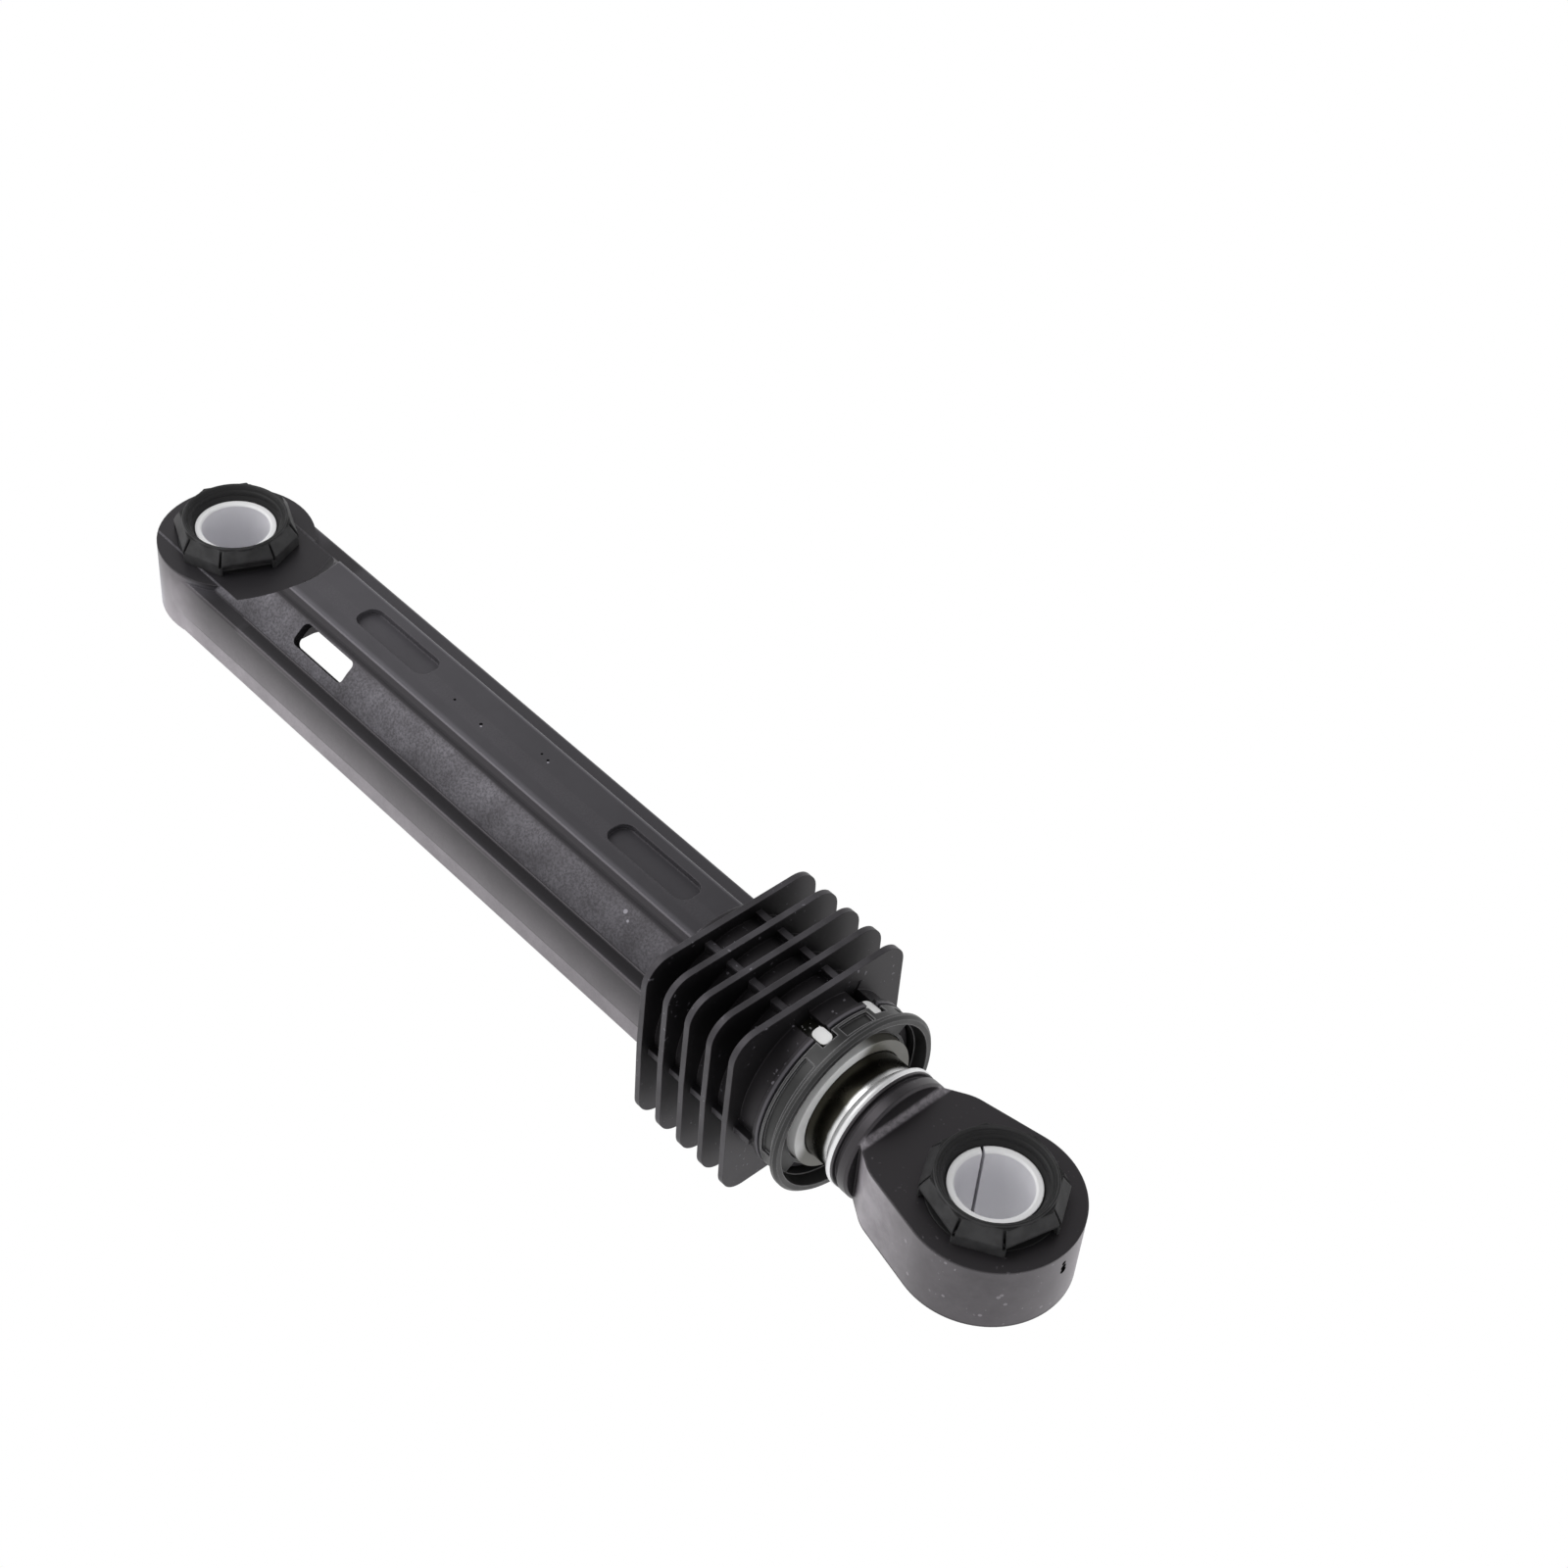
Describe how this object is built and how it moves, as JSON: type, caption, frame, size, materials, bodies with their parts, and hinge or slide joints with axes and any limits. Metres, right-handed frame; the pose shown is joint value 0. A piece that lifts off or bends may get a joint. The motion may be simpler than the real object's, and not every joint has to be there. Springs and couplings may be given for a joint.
{
  "type": "washing machine shock absorber",
  "caption": "Friction damper for a washing machine tub: finned plastic housing with an eye at one end, sliding steel rod with a second eye, rubber bushes and plastic sleeves in both eyes.",
  "frame": {"origin": "centre of the pivot bore in the housing eye, half way along that bore", "axes": "+X along the sliding axis from the housing eye to the rod eye, +Z along both pivot bores, +Y completes a right-handed frame"},
  "size_m": [0.218, 0.0356, 0.0348],
  "materials": {
    "housing_plastic": "black moulded plastic, satin with fine grain",
    "cap_plastic": "black moulded plastic, satin",
    "carrier_plastic": "white plastic, slightly greasy",
    "lining_felt": "greased foam",
    "rod_steel": "polished steel tube",
    "guide_plastic": "pale plastic",
    "eye_plastic": "black moulded plastic, satin",
    "bush_rubber": "black rubber",
    "sleeve_plastic": "white plastic"
  },
  "bodies": {
    "housing": {"housing": "housing_plastic", "end_cap": "cap_plastic", "lining_carrier": "carrier_plastic", "friction_lining": "lining_felt", "housing_bush": "bush_rubber", "housing_sleeve": "sleeve_plastic"},
    "guide": {"rod_guide": "guide_plastic"},
    "rod": {"rod_tube": "rod_steel", "rod_eye": "eye_plastic", "rod_bush": "bush_rubber", "rod_sleeve": "sleeve_plastic"}
  },
  "joints": [
    {"name": "rod_slide", "type": "slide", "parent": "housing", "child": "guide", "axis": [1, 0, 0], "range_m": [-0.005, 0.075]},
    {"name": "rod_twist", "type": "hinge", "parent": "guide", "child": "rod", "pos_m": [0.1, 0, 0], "axis": [1, 0, 0], "continuous": true}
  ]
}
